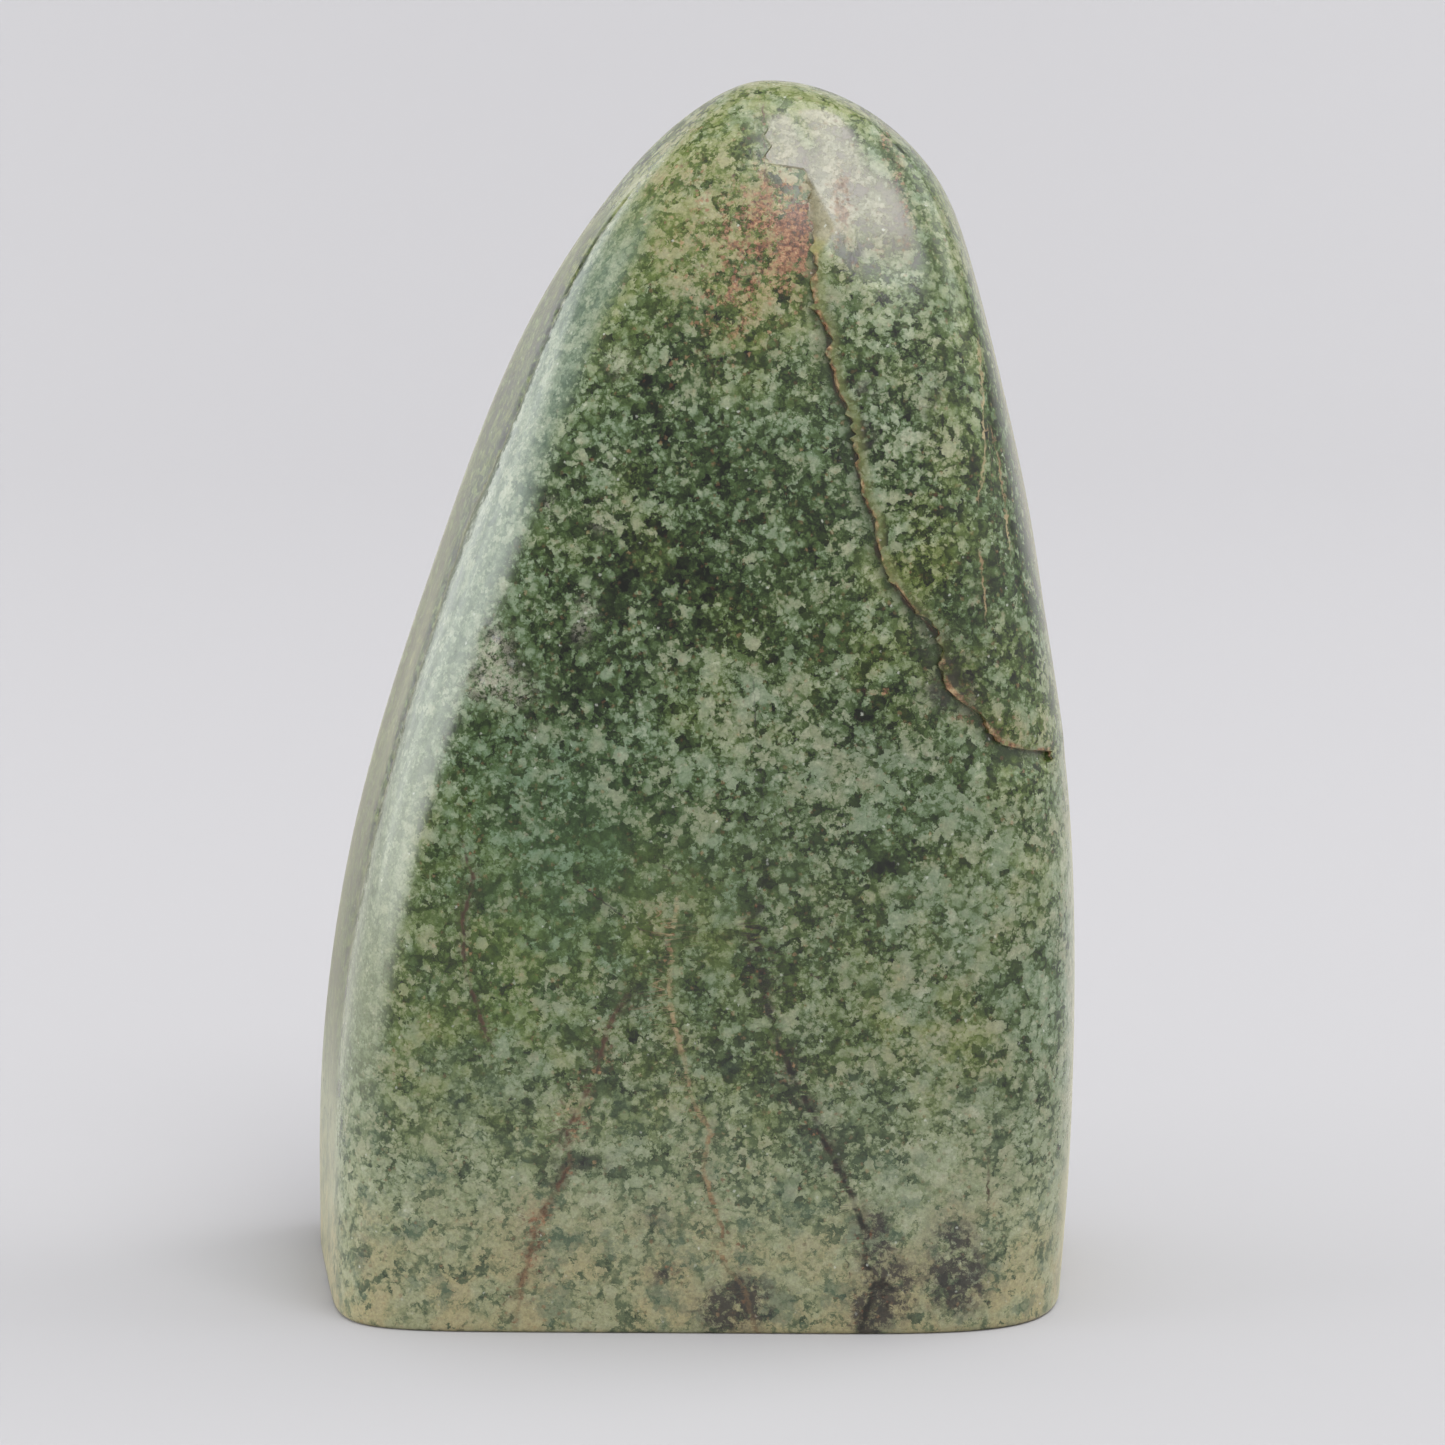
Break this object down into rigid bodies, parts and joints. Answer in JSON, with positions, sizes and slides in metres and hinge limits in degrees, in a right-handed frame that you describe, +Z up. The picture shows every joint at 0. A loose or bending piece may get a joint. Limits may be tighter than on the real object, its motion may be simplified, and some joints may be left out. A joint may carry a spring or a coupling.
{
  "type": "polished serpentine freeform rock",
  "caption": "Free-standing piece of green serpentine with a flat ground base, tapering to a rounded, leaning arch, polished all over, with a natural fracture ledge on its front.",
  "frame": {"origin": "middle of the stone's bounding box at the height of its flat base", "axes": "+Z up, the stone's long way; -Y is the wide front face with the fracture ledge; +Y is the back, through the stone's thickness; +X is to the right of someone who looks at the front, the way the top leans"},
  "size_m": [0.076, 0.047, 0.12],
  "materials": {
    "polished_serpentine": "polished opaque stone: mottled green serpentine with pale angular flecks, dark patches and thin rusty veins"
  },
  "bodies": {
    "root": {"serpentine_stone": "polished_serpentine"}
  },
  "joints": []
}
